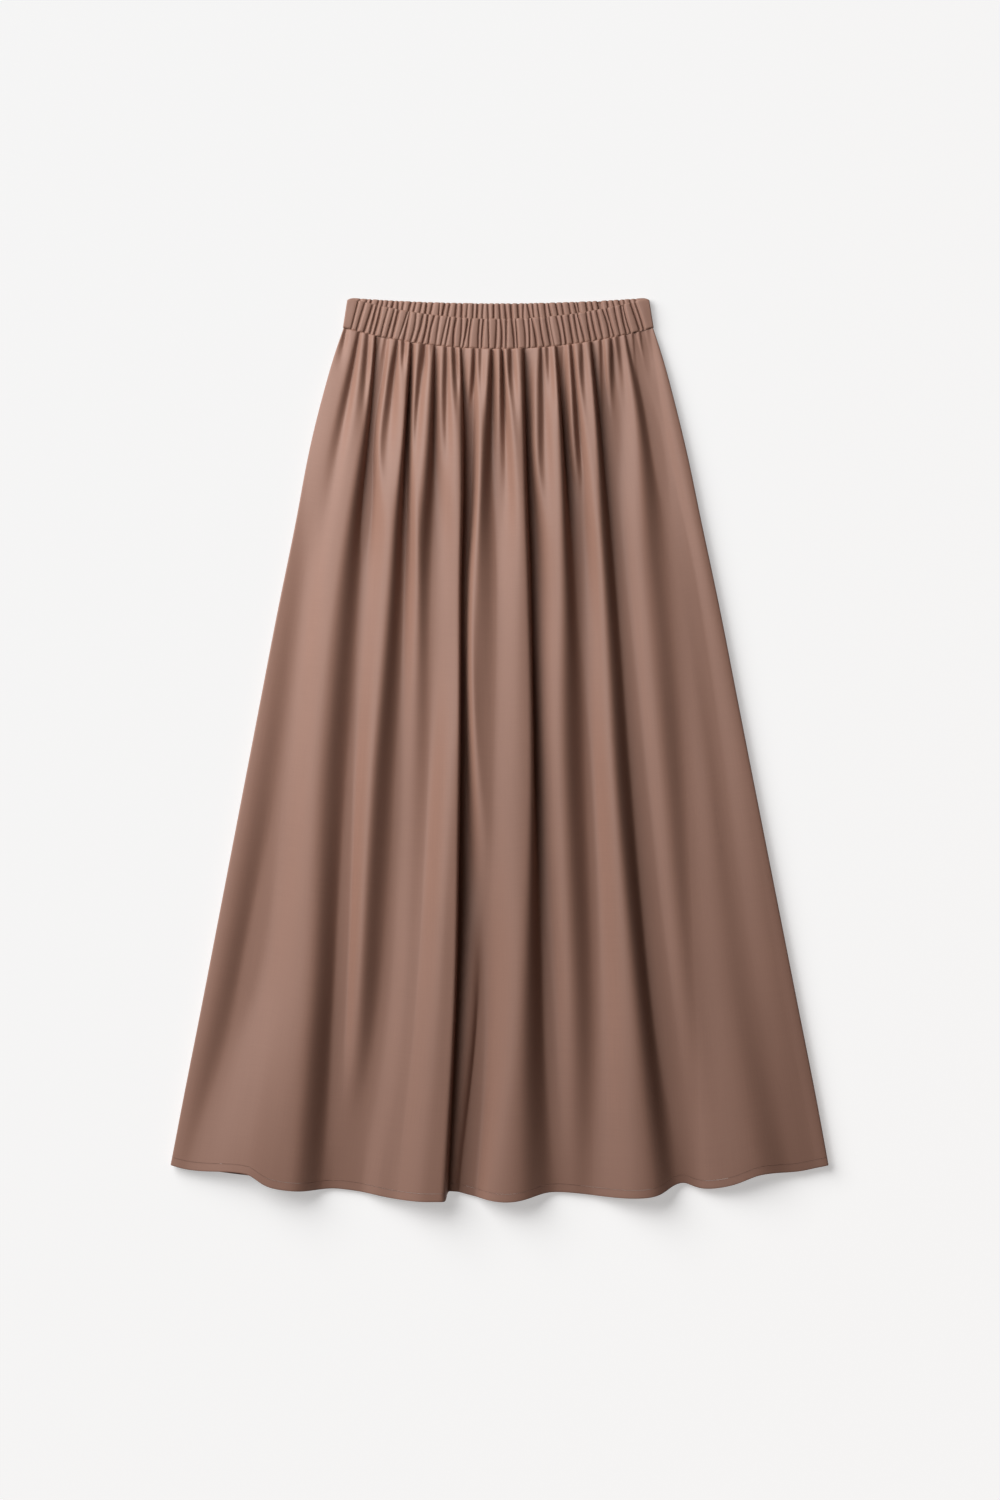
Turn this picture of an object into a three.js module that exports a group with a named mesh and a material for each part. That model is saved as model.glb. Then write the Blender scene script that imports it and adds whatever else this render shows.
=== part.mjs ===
// A gathered maxi skirt laid flat, face up: a front and a back panel, each gathered into half of an
// elasticated waistband and each ending in a narrow turned hem. Sizes are in millimetres.
// X runs across the skirt, Y from the hem towards the waist, Z up from the table.
import * as THREE from 'three';

// Driving dimensions
const SKIRT_LENGTH = 950;
const WAIST_WIDTH = 316;
const SEAM_WIDTH = 325;
const HEM_WIDTH = 688;
const BAND_HEIGHT = 32;
const FRONT_DIP = 22.5;
const BACK_DIP = 6;
const HEM_SWEEP = 40;
const HEM_SWEEP_POWER = 2.4;
const BACK_HEM_RISE = 17;
const WAIST_DRIFT = -1.9;

// Cloth and seams
const CLOTH = 1.2;
const HEM_CLOTH = 1.6;
const HEM_DEPTH = 9;
const SEAM_GAP = 0.3;
const BAND_CLOTH = 3.4;
const BAND_EDGE_CLOTH = 1.8;
const BAND_SEAM_CLOTH = 2.6;

// Waistband gathers
const BAND_GATHERS = 48;
const BAND_PLAIN_END = 10;
const BAND_GATHER_DEPTH = 0.8;
const BAND_SCALLOP = 0.8;
const BAND_CORNER = 3.5;
const BAND_CORNER_REACH = 2.5;

// Back panel: flat strips that rest on the table, with low channels between them
const BACK_FOLDS = 24;
const BACK_CHANNEL = 1.2;
const BACK_CHANNEL_PEAK = 0.75;
const BACK_ROWS = 7;

// Front panel. A long fold is read at six levels, given as shares of the length.
const LEVELS = [0, 0.12, 0.28, 0.5, 0.78, 1];
const LOFT_TABLE = [
  { at: 0, height: 3 },
  { at: 0.02, height: 7 },
  { at: 0.05, height: 11 },
  { at: 0.12, height: 15 },
  { at: 0.45, height: 20 },
  { at: 1, height: 19 },
];
const FRONT_ROWS = 16;
const ROW_CROWDING = 1.5;
const SEAM_LIFT = 1.4;
const SEAM_LIFT_REACH = 0.02;
const EDGE_SHARP_SHARE = 0.35;
const EDGE_SHARP = 4;
const EDGE_EASY = 22;
const VALLEY_SOFTNESS = 0.1;
const LEAST_WIDTH = 2.2;

// Where the front's points stand beside a long fold, in fold widths and as a share of the room there
const FOOT_WIDTHS = 0.9;
const FOOT_SHARE = 0.2;
const CREST_WIDTHS = 2;
const CREST_SHARE = 0.42;
const SLOPE_STEP = 0.4;

// Half the width of the skirt as it lies, down its length
const FLARE = [
  { at: 0, half: 162.5 },
  { at: 0.03, half: 170.8 },
  { at: 0.09, half: 185.2 },
  { at: 0.15, half: 197.8 },
  { at: 0.23, half: 212.2 },
  { at: 0.33, half: 230.7 },
  { at: 0.45, half: 251.2 },
  { at: 0.63, half: 281.7 },
  { at: 0.8, half: 311 },
  { at: 0.93, half: 333.4 },
  { at: 1, half: HEM_WIDTH / 2 },
];

// Long folds, at each level: place is where the valley lies across the skirt, depth its share of the
// loft, fall and rise the half widths of its left and right slopes, and lean how far it moves left,
// under the crest beside it.
const LONG_FOLDS = [
  {
    name: 'left side',
    place: [-165.1, -192.7, -208.8, -228.2, -266.8, -319.9],
    depth: [0, 0.03, 0.9, 0.91, 1.07, 0.4],
    fall: [1.9, 11.3, 17.7, 18, 18, 18],
    rise: [2.7, 18.5, 17, 19.8, 31, 34],
    lean: [0, 2, 0, 0, 0, 9.1],
  },
  {
    name: 'left wide',
    place: [-128.1, -133.5, -144.3, -155.1, -169.4, -187.1],
    depth: [0.49, 0.99, 1.08, 1.08, 1.24, 0.51],
    fall: [1.6, 5.6, 10.2, 15, 12.7, 12.3],
    rise: [7.7, 3.1, 9.3, 10.2, 11.4, 24],
    lean: [0, 1.6, 0, 0, 0, 0],
  },
  {
    name: 'left broad',
    place: [-91.3, -96.6, -98.5, -104.4, -121.9, -150.5],
    depth: [0.68, 0.42, 0.77, 0.88, 0.97, 0.98],
    fall: [1.6, 2.3, 7.5, 15.8, 18, 18],
    rise: [2.4, 2.4, 5.5, 12.1, 20.3, 22.4],
    lean: [0, 0.6, 1.8, 4.7, 1.4, 0],
  },
  {
    name: 'left soft',
    place: [-66.9, -66.4, -69.7, -71.3, -80.6, -104.4],
    depth: [0.39, 0.47, 0.5, 0.8, 0.46, 0.46],
    fall: [1.6, 4.4, 9.9, 16.3, 18, 18],
    rise: [3.7, 4.4, 9.6, 8.6, 6.5, 10.4],
    lean: [0, 2.7, 1.3, 3.8, 8.1, 5.6],
  },
  {
    name: 'middle deep',
    place: [-38.9, -34.3, -30.6, -34.3, -35.2, -41],
    depth: [0.4, 0.6, 0.61, 0.63, 1.58, 1.2],
    fall: [2, 3.4, 4.6, 3.9, 4.9, 6.1],
    rise: [6.1, 5.9, 3.2, 8.2, 15.3, 23.1],
    lean: [0, 1.4, 5.7, 0.8, 2, 4],
  },
  {
    name: 'middle soft',
    place: [-7, -7.9, -0.7, -5.3, -7.1, -28.4],
    depth: [0.39, 0.56, 0.56, 0.72, 0.69, 0.3],
    fall: [1.6, 5, 15.6, 18, 10.2, 3.7],
    rise: [2.2, 8.7, 10.4, 12, 10.4, 13.7],
    lean: [0, 0.4, 3.8, 2.1, 3.7, 0],
  },
  {
    name: 'right of middle',
    place: [27.3, 32.3, 36.5, 45.6, 45.7, 61.5],
    depth: [0.47, 0.39, 0.73, 1.31, 1.32, 0.84],
    fall: [2.4, 3.3, 3, 5.6, 8, 18],
    rise: [9.1, 2.8, 11, 10.2, 17, 19],
    lean: [0, 2.1, 2.5, 6.7, 0, 0],
  },
  {
    name: 'right broad',
    place: [61, 70, 81.7, 97.9, 102.6, 100.7],
    depth: [0.24, 0.36, 0.69, 1.07, 0.99, 0.84],
    fall: [2, 2.4, 6.7, 17.4, 18, 18],
    rise: [3.6, 3.6, 14.4, 9.1, 17.1, 23.7],
    lean: [0, 2.2, 2.1, 2.2, 0.1, 0],
  },
  {
    name: 'right wide',
    place: [96.8, 109.6, 122, 143.9, 175.4, 198.6],
    depth: [0.33, 0.65, 1.06, 0.99, 0.95, 0.41],
    fall: [1.6, 3.6, 5.3, 11.4, 18, 18],
    rise: [8.2, 17.5, 20.4, 19, 11.6, 16.7],
    lean: [0, 1.5, 0, 1.7, 9.6, 12],
  },
  {
    name: 'right soft',
    place: [133.3, 160.1, 176.6, 197, 211.9, 219.1],
    depth: [0.65, 0.58, 0.78, 0.97, 0.92, 0.62],
    fall: [1.6, 8.7, 14, 18, 18, 17.1],
    rise: [5.6, 8.2, 14.3, 19.8, 34, 34],
    lean: [0, 2.8, 1.2, 0.1, 0, 0],
  },
  {
    name: 'right outer',
    place: [156.6, 173.2, 203.4, 234.8, 265.9, 297.4],
    depth: [0.57, 0.51, 0.44, 0.66, 0.59, 0.67],
    fall: [2.5, 11.1, 13.7, 13.2, 18, 18],
    rise: [2.2, 6.8, 7.1, 13.6, 18.5, 29],
    lean: [0, 0.4, 1.2, 3.9, 3.4, 0],
  },
  {
    name: 'right side',
    place: [158.4, 183.2, 214, 252.6, 299.6, 335.7],
    depth: [0.11, 0.27, 0.28, 0.31, 0.5, 0.43],
    fall: [2.6, 5.2, 5.7, 10.8, 17.1, 18],
    rise: [2.2, 2.2, 2.2, 2.5, 3.2, 6.8],
    lean: [0, 0.4, 0, 1.3, 0, 2],
  },
];

// Short gathers under the waistband. top and hem are the ends of the line that each one follows, depth
// is its share of the loft, reach the share of the length over which it fades, width its half width at
// the seam, and spread what the width would gain down the whole length.
const SHORT_GATHERS = [
  { top: -161, hem: -310, depth: 0.64, reach: 0.026, width: 2.2, spread: 20 },
  { top: -137.5, hem: -197, depth: 0.48, reach: 0.076, width: 2.1, spread: 23 },
  { top: -118.2, hem: -224, depth: 0.61, reach: 0.072, width: 1.2, spread: 16 },
  { top: -107, hem: -206, depth: 0.56, reach: 0.157, width: 1.2, spread: 49 },
  { top: -99.9, hem: -156, depth: 0.56, reach: 0.025, width: 2.1, spread: 22 },
  { top: -79.5, hem: -164, depth: 0.41, reach: 0.167, width: 2.4, spread: 21 },
  { top: -55.6, hem: -63, depth: 0.46, reach: 0.161, width: 1.8, spread: 28 },
  { top: -47.3, hem: 3, depth: 0.52, reach: 0.059, width: 2.1, spread: 29 },
  { top: -26.2, hem: -45, depth: 0.54, reach: 0.237, width: 1.3, spread: 15 },
  { top: -19.4, hem: -39, depth: 0.3, reach: 0.066, width: 2.4, spread: 29 },
  { top: 2.5, hem: 39, depth: 0.64, reach: 0.174, width: 1.2, spread: 22 },
  { top: 11.7, hem: 24, depth: 0.41, reach: 0.053, width: 1.9, spread: 25 },
  { top: 15.1, hem: 37, depth: 0.15, reach: 0.07, width: 1.3, spread: 22 },
  { top: 44, hem: 58, depth: 0.43, reach: 0.279, width: 1.2, spread: 40 },
  { top: 50.8, hem: 77, depth: 0.54, reach: 0.071, width: 3, spread: 27 },
  { top: 67.3, hem: 120, depth: 0.44, reach: 0.145, width: 2.2, spread: 23 },
  { top: 75.3, hem: 149, depth: 0.54, reach: 0.277, width: 1.6, spread: 18 },
  { top: 86.7, hem: 124, depth: 0.28, reach: 0.191, width: 1.5, spread: 56 },
  { top: 107.2, hem: 173, depth: 0.54, reach: 0.131, width: 1.4, spread: 9 },
  { top: 117.4, hem: 180, depth: 0.49, reach: 0.12, width: 1.2, spread: 45 },
  { top: 125.3, hem: 217, depth: 0.61, reach: 0.139, width: 3.5, spread: 35 },
  { top: 141.7, hem: 295, depth: 0.78, reach: 0.048, width: 1.5, spread: 19 },
  { top: 149.5, hem: 269, depth: 1, reach: 0.05, width: 2.9, spread: 30 },
];

// The front's columns follow the inner long folds. Those of the other folds and of the gathers keep the
// share of the room between two of these guides that they have at the named level.
const GUIDES = LONG_FOLDS.slice(1, -2);
const FOLLOWERS = [
  ...[LONG_FOLDS[0], ...LONG_FOLDS.slice(-2)].map((line) => ({ line, level: 1 })),
  ...SHORT_GATHERS.map((line) => ({ line, level: 0 })),
];

// Where the hem is hitched up by a fold: the place across, the rise, and the half width of each slope
const HEM_HITCHES = [
  { x: -268, rise: 8.2, left: 23, right: 11.5 },
  { x: -160, rise: 8.8, left: 22, right: 28 },
  { x: -49, rise: 11.3, left: 10, right: 23 },
  { x: 60.4, rise: 12.1, left: 21, right: 34 },
  { x: 190, rise: 9.8, left: 17, right: 14.5 },
  { x: 278, rise: 6.8, left: 15.5, right: 22 },
];

// Worked out from the driving dimensions
const TOP_Y = SKIRT_LENGTH / 2;
const SEAM_Y = TOP_Y - BAND_HEIGHT;
const HEM_Y = -SKIRT_LENGTH / 2;
const SEAM_HALF = SEAM_WIDTH / 2;
const HEM_HALF = HEM_WIDTH / 2;
const PANEL_DROP = SEAM_Y - HEM_Y;
const HEM_SHARE = HEM_DEPTH / PANEL_DROP;
const GAP_SHARE = SEAM_GAP / PANEL_DROP;
const EDGE_REST = CLOTH + SEAM_GAP + CLOTH / 2;
const VALLEY_REST = EDGE_REST + BACK_CHANNEL;
const HEM_REST_LIFT = 1.5 * (HEM_CLOTH - CLOTH);
const BAND_REST = BAND_CLOTH + SEAM_GAP;
const HEM_LIFT_RUN = 10 * HEM_SHARE;

const panelCloth = new THREE.MeshStandardMaterial({ color: 0x97796b, roughness: 0.82, metalness: 0 });
const bandCloth = new THREE.MeshStandardMaterial({ color: 0x8a6c60, roughness: 0.85, metalness: 0 });

function bell(distance, width) {
  return Math.exp(-0.5 * (distance / width) ** 2);
}

// The slope of a table at one stop, from the stops beside it
function slopeAt(stops, values, k) {
  const before = Math.max(k - 1, 0);
  const after = Math.min(k + 1, stops.length - 1);
  return (values[after] - values[before]) / (stops[after] - stops[before]);
}

// Smooth reading of a table: a cubic curve between two stops, with the slope that the table has at each
function readTable(stops, values, at) {
  let k = 0;
  while (k < stops.length - 2 && at > stops[k + 1]) {
    k += 1;
  }
  const step = stops[k + 1] - stops[k];
  const t = THREE.MathUtils.clamp((at - stops[k]) / step, 0, 1);
  const blend = t * t * (3 - 2 * t);
  const leaving = t * (1 - t) ** 2 * step * slopeAt(stops, values, k);
  const arriving = t * t * (1 - t) * step * slopeAt(stops, values, k + 1);
  return THREE.MathUtils.lerp(values[k], values[k + 1], blend) + leaving - arriving;
}

function readRows(table, column, at) {
  return readTable(table.map((row) => row.at), table.map((row) => row[column]), at);
}

// down is 0 at the waist seam and 1 at the hem; across is -1 at the left side and 1 at the right.
function halfWidth(down) {
  return readRows(FLARE, 'half', down);
}

function centreX(down) {
  return WAIST_DRIFT * (1 - down);
}

function seamY(across, dip) {
  return SEAM_Y - SEAM_GAP - dip * (1 - across ** 2);
}

function frontHemY(across) {
  let y = HEM_Y + HEM_SWEEP * Math.abs(across) ** HEM_SWEEP_POWER;
  for (const hitch of HEM_HITCHES) {
    const off = across * HEM_HALF - hitch.x;
    y += hitch.rise * bell(off, off < 0 ? hitch.left : hitch.right);
  }
  return y;
}

function backHemY(across) {
  const sweep = HEM_SWEEP * Math.abs(across) ** HEM_SWEEP_POWER;
  return HEM_Y + sweep + BACK_HEM_RISE * (1 - across ** 2);
}

function valleyX(line, down) {
  return line.place ? readTable(LEVELS, line.place, down) : line.top + (line.hem - line.top) * down;
}

function slopeWidth(fold, side, down) {
  return Math.max(readTable(LEVELS, fold[side], down), LEAST_WIDTH);
}

// The share of the loft that the folds take away at one place, and how far they lean the cloth over
function carve(x, down) {
  let share = 0;
  let lean = 0;
  for (const fold of LONG_FOLDS) {
    const off = x - valleyX(fold, down);
    const shape = bell(off, slopeWidth(fold, off < 0 ? 'fall' : 'rise', down));
    share += Math.max(readTable(LEVELS, fold.depth, down), 0) * shape;
    lean += Math.max(readTable(LEVELS, fold.lean, down), 0) * shape;
  }
  for (const gather of SHORT_GATHERS) {
    const width = Math.max(gather.width, LEAST_WIDTH) + gather.spread * down;
    const depth = gather.depth * Math.exp(-((down / gather.reach) ** 2));
    share += depth * bell(x - valleyX(gather, down), width);
  }
  return { share, lean };
}

// The middle of the front panel's cloth
function frontMiddle(x, down) {
  const half = halfWidth(down);
  const off = x - centreX(down);
  const across = THREE.MathUtils.clamp(off / half, -1, 1);
  const room = Math.max(half - Math.abs(off), 0);
  const sharp = 1 - Math.exp(-room / EDGE_SHARP);
  const easy = 1 - Math.exp(-room / EDGE_EASY);
  const inside = THREE.MathUtils.lerp(easy, sharp, EDGE_SHARP_SHARE);
  const { share, lean } = carve(x, down);
  const left = 1 - share;
  const kept = 0.5 * (left + Math.hypot(left, VALLEY_SOFTNESS));
  const loft = readRows(LOFT_TABLE, 'height', down);
  const seamLift = SEAM_LIFT * Math.exp(-((down / SEAM_LIFT_REACH) ** 2));
  const hemLift = HEM_REST_LIFT * THREE.MathUtils.smoothstep(down, 1 - HEM_LIFT_RUN, 1 - HEM_SHARE);
  const rest = EDGE_REST + (VALLEY_REST - EDGE_REST) * inside + seamLift + hemLift;
  const y = THREE.MathUtils.lerp(seamY(across, FRONT_DIP), frontHemY(across), down);
  return new THREE.Vector3(x - lean * inside, y, rest + inside * loft * kept);
}

// The upper and the lower point of the front cloth, set square to its slope across the skirt
function frontPair(x, down, thickness) {
  const middle = frontMiddle(x, down);
  const across = frontMiddle(x + SLOPE_STEP, down).sub(frontMiddle(x - SLOPE_STEP, down));
  const normal = new THREE.Vector3(-across.z, 0, across.x).normalize().multiplyScalar(thickness / 2);
  return { upper: middle.clone().add(normal), lower: middle.clone().sub(normal) };
}

// The sides and the valleys that the front's columns follow, at one level
function guideStops(down) {
  const half = halfWidth(down);
  return [
    { x: centreX(down) - half, fold: null },
    ...GUIDES.map((fold) => ({ x: valleyX(fold, down), fold })),
    { x: centreX(down) + half, fold: null },
  ];
}

// The gap between two guides in which a follower lies, and its share of that gap
function seatOf({ line, level }) {
  const stops = guideStops(level);
  const x = valleyX(line, level);
  const gap = stops.findIndex((stop) => stop.x > x) - 1;
  return { gap, share: (x - stops[gap].x) / (stops[gap + 1].x - stops[gap].x) };
}

// Places across the front at one level: each valley, the foot and the crest of each slope beside a
// guide, and one crest between two short gathers
function frontColumns(down) {
  const guides = guideStops(down);
  const seated = FOLLOWERS.map(seatOf).map(({ gap, share }) => {
    return { x: THREE.MathUtils.lerp(guides[gap].x, guides[gap + 1].x, share), fold: null };
  });
  const stops = [...guides, ...seated].sort((p, q) => p.x - q.x);
  const columns = [stops[0].x];
  for (let k = 1; k < stops.length; k += 1) {
    const from = stops[k - 1];
    const to = stops[k];
    const gap = to.x - from.x;
    if (from.fold) {
      const rise = slopeWidth(from.fold, 'rise', down);
      columns.push(from.x + Math.min(FOOT_WIDTHS * rise, FOOT_SHARE * gap));
      columns.push(from.x + Math.min(CREST_WIDTHS * rise, CREST_SHARE * gap));
    }
    if (!from.fold && !to.fold) {
      columns.push(from.x + gap / 2);
    }
    if (to.fold) {
      const fall = slopeWidth(to.fold, 'fall', down);
      columns.push(to.x - Math.min(CREST_WIDTHS * fall, CREST_SHARE * gap));
      columns.push(to.x - Math.min(FOOT_WIDTHS * fall, FOOT_SHARE * gap));
    }
    columns.push(to.x);
  }
  return columns;
}

// A closed wall between an upper and a lower grid of points, rows running from the waist to the hem
function closedWall(name, upper, lower, material) {
  const rows = upper.length;
  const columns = upper[0].length;
  const points = [...upper.flat(), ...lower.flat()].flatMap((point) => point.toArray());
  const top = (row, column) => row * columns + column;
  const under = (row, column) => rows * columns + top(row, column);
  const faces = [];
  for (let row = 0; row + 1 < rows; row += 1) {
    for (let column = 0; column + 1 < columns; column += 1) {
      const corners = [[row, column], [row, column + 1], [row + 1, column + 1], [row + 1, column]];
      const [a, b, c, d] = corners.map(([r, k]) => top(r, k));
      const [e, f, g, h] = corners.map(([r, k]) => under(r, k));
      faces.push(a, c, b, a, d, c, e, f, g, e, g, h);
    }
  }
  const rim = [];
  for (let column = 0; column < columns - 1; column += 1) {
    rim.push([0, column]);
  }
  for (let row = 0; row < rows - 1; row += 1) {
    rim.push([row, columns - 1]);
  }
  for (let column = columns - 1; column > 0; column -= 1) {
    rim.push([rows - 1, column]);
  }
  for (let row = rows - 1; row > 0; row -= 1) {
    rim.push([row, 0]);
  }
  rim.forEach(([row, column], k) => {
    const [nextRow, nextColumn] = rim[(k + 1) % rim.length];
    const [a, b] = [top(row, column), top(nextRow, nextColumn)];
    const [c, d] = [under(nextRow, nextColumn), under(row, column)];
    faces.push(a, b, c, a, c, d);
  });
  const geometry = new THREE.BufferGeometry();
  geometry.setAttribute('position', new THREE.Float32BufferAttribute(points, 3));
  geometry.setIndex(faces);
  geometry.computeVertexNormals();
  const mesh = new THREE.Mesh(geometry, material);
  mesh.name = name;
  return mesh;
}

function frontWall(name, levels, thickness) {
  const pairs = levels.map((down) => frontColumns(down).map((x) => frontPair(x, down, thickness)));
  const upper = pairs.map((row) => row.map((pair) => pair.upper));
  const lower = pairs.map((row) => row.map((pair) => pair.lower));
  return closedWall(name, upper, lower, panelCloth);
}

// The back lies on the table on flat strips; between two strips the cloth arches over a low channel.
function backWall(name, levels, thickness) {
  const places = [];
  for (let fold = 0; fold < BACK_FOLDS; fold += 1) {
    places.push({ share: fold, arch: 0 }, { share: fold + 0.5, arch: 0 });
    places.push({ share: fold + BACK_CHANNEL_PEAK, arch: BACK_CHANNEL });
  }
  places.push({ share: BACK_FOLDS, arch: 0 });
  const grid = (lift) => levels.map((down) => places.map(({ share, arch }) => {
    const across = 2 * share / BACK_FOLDS - 1;
    const y = THREE.MathUtils.lerp(seamY(across, BACK_DIP), backHemY(across), down);
    return new THREE.Vector3(centreX(down) + across * halfWidth(down), y, arch + lift);
  }));
  return closedWall(name, grid(thickness), grid(0), panelCloth);
}

// Places along the band, in millimetres from its middle at the waist seam: ridge and furrow in turn
// between two plain ends
function bandPlaces() {
  const gathered = SEAM_HALF - BAND_PLAIN_END;
  const pitch = 2 * gathered / BAND_GATHERS;
  const places = [{ x: -SEAM_HALF, furrow: 0 }, { x: -SEAM_HALF + BAND_CORNER, furrow: 0 }];
  for (let k = 0; k < BAND_GATHERS; k += 1) {
    places.push({ x: -gathered + k * pitch, furrow: 0 }, { x: -gathered + (k + 0.5) * pitch, furrow: 1 });
  }
  places.push({ x: gathered, furrow: 0 });
  places.push({ x: SEAM_HALF - BAND_CORNER, furrow: 0 }, { x: SEAM_HALF, furrow: 0 });
  return places;
}

// One half of the elasticated band: plain inside, furrowed outside, thinner at its edges
function bandWall(name, dip, rest) {
  const sections = [
    { share: 0, cloth: BAND_EDGE_CLOTH },
    { share: 0.15, cloth: BAND_CLOTH },
    { share: 0.85, cloth: BAND_CLOTH },
    { share: 1, cloth: BAND_SEAM_CLOTH },
  ];
  const grid = (rise) => sections.map((section) => bandPlaces().map(({ x, furrow }) => {
    const across = x / SEAM_HALF;
    const taper = THREE.MathUtils.lerp(WAIST_WIDTH / SEAM_WIDTH, 1, section.share);
    const corner = BAND_CORNER * Math.exp((Math.abs(x) - SEAM_HALF) / BAND_CORNER_REACH);
    const drop = section.share * BAND_HEIGHT + (1 - section.share) * (corner + BAND_SCALLOP * furrow);
    const y = TOP_Y - dip * (1 - across ** 2) - drop;
    const cloth = section.cloth - BAND_GATHER_DEPTH * furrow;
    return new THREE.Vector3(centreX(0) + x * taper, y, rest + rise * cloth);
  }));
  return closedWall(name, grid(1), grid(0), bandCloth);
}

function levelsBetween(from, to, count, crowding) {
  return Array.from({ length: count + 1 }, (_, k) => from + (to - from) * (k / count) ** crowding);
}

const frontLevels = levelsBetween(0, 1 - HEM_SHARE, FRONT_ROWS, ROW_CROWDING);
const backLevels = levelsBetween(0, 1 - HEM_SHARE, BACK_ROWS, ROW_CROWDING);
const hemLevels = [1 - HEM_SHARE + GAP_SHARE, 1];

const skirt = new THREE.Group();
skirt.name = 'maxi_skirt';
skirt.add(backWall('back_panel', backLevels, CLOTH));
skirt.add(backWall('back_hem', hemLevels, HEM_CLOTH));
skirt.add(bandWall('back_waistband', BACK_DIP, 0));
skirt.add(frontWall('front_panel', frontLevels, CLOTH));
skirt.add(frontWall('front_hem', hemLevels, HEM_CLOTH));
skirt.add(bandWall('front_waistband', FRONT_DIP, BAND_REST));

export default skirt;
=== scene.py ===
"""A gathered maxi skirt laid flat: cloth, waistband, hems and sewing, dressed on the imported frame.

Shapes are worked out in millimetres, in the frame's own axes: X across the skirt, Y from the hem
to the waist, Z up from the table. Each mesh is turned into metres where it is made. "down" is a
share of the panel's length, 0 at the waist seam and 1 at the hem; "across" is -1 at the left side
and 1 at the right.
"""
from __future__ import annotations

import logging
from dataclasses import dataclass
from enum import Enum

import bpy
import numpy as np
from bpy.types import Material, Node, NodeSocket, Object
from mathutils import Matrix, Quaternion, Vector

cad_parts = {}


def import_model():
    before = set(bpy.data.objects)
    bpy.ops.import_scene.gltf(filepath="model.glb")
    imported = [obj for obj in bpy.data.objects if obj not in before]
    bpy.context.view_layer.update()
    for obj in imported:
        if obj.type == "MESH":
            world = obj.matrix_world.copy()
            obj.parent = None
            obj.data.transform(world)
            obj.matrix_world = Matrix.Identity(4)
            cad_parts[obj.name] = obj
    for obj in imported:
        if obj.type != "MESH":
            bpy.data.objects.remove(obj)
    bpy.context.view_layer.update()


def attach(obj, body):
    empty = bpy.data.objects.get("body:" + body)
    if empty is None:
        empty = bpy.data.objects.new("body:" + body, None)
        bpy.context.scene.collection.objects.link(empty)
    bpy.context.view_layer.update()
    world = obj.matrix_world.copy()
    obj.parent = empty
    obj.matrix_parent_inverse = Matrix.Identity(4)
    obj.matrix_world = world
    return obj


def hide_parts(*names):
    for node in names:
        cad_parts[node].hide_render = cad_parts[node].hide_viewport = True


LOG = logging.getLogger("skirt")
MM = 0.001
FULL_TURN = 2.0 * np.pi
SHORTEST = 1e-12
CLOTH_UV = "Cloth"
WAVE_REPEAT = 0.32  # length of one wave of a wave texture whose scale is 1
BODY = "root"

Array = np.ndarray
Pair = tuple[float, float]
Triple = tuple[float, float, float]
Row = tuple[float, ...]
Feed = NodeSocket | float | Row
Inputs = dict[str | int, Feed]


class Layer(Enum):
    """Which half of the flat skirt a piece belongs to."""

    FRONT = "front"
    BACK = "back"


class Slot(Enum):
    """The record's material slots."""

    SKIRT = "skirt_cloth"
    BAND = "waistband_cloth"


def bell(offset: Array, width: Array | float) -> Array:
    """Gaussian bump: 1 at no offset, falling off over the width."""
    return np.exp(-0.5 * (offset / width) ** 2)


def ease(share: Array) -> Array:
    """Smooth step from 0 to 1 with level ends: 3s squared less 2s cubed."""
    s = np.clip(share, 0.0, 1.0)
    return s * s * (3.0 - 2.0 * s)


def glide(stops: Row, values: Row, at: Array) -> Array:
    """Smooth reading of a short table: a cubic between stops, with the slopes of their neighbours.

    Args:
        stops: places that the table names, rising.
        values: the value at each place.
        at: places to read.

    Returns:
        The values read, one for each place.
    """
    x = np.asarray(stops, float)
    y = np.asarray(values, float)
    slope = np.gradient(y, x)
    k = np.clip(np.searchsorted(x, at, side="right") - 1, 0, len(x) - 2)
    step = x[k + 1] - x[k]
    t = np.clip((at - x[k]) / step, 0.0, 1.0)
    rise = y[k + 1] - y[k]
    blend = t * t * (3.0 - 2.0 * t)
    bend = t * (1.0 - t) ** 2 * step * slope[k] - t * t * (1.0 - t) * step * slope[k + 1]
    return y[k] + rise * blend + bend


def unit(vectors: Array) -> Array:
    """Vectors of length 1 along the last axis."""
    return vectors / np.maximum(np.linalg.norm(vectors, axis=-1, keepdims=True), SHORTEST)


def walked(line: Array) -> Array:
    """Distance along a line of points, from 0 at its first."""
    return np.concatenate([[0.0], np.cumsum(np.linalg.norm(np.diff(line, axis=0), axis=1))])


def grid_normals(points: Array) -> Array:
    """Upward normals of a grid: rows run from the waist to the hem and columns to the right."""
    along = np.gradient(points, axis=0)
    over = np.gradient(points, axis=1)
    return unit(np.cross(along, over))


def wall_faces(rows: int, columns: int) -> Array:
    """Quads of a closed wall between an upper and a lower grid, all facing out.

    The upper grid's points come first, then the lower grid's. Quads cover both grids and the rim.

    Args:
        rows: points from the waist to the hem.
        columns: points from left to right.

    Returns:
        Whole numbers in an array of four columns.
    """
    index = np.arange(rows * columns).reshape(rows, columns)
    a, b = index[:-1, :-1].ravel(), index[:-1, 1:].ravel()
    c, d = index[1:, 1:].ravel(), index[1:, :-1].ravel()
    under = rows * columns
    upper = np.stack([a, d, c, b], axis=1)
    lower = np.stack([a, b, c, d], axis=1) + under
    loop = np.concatenate([index[0, :-1], index[:-1, -1], index[-1, :0:-1], index[:0:-1, 0]])
    after = np.roll(loop, -1)
    rim = np.stack([loop, after, after + under, loop + under], axis=1)
    return np.concatenate([upper, lower, rim])


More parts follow.
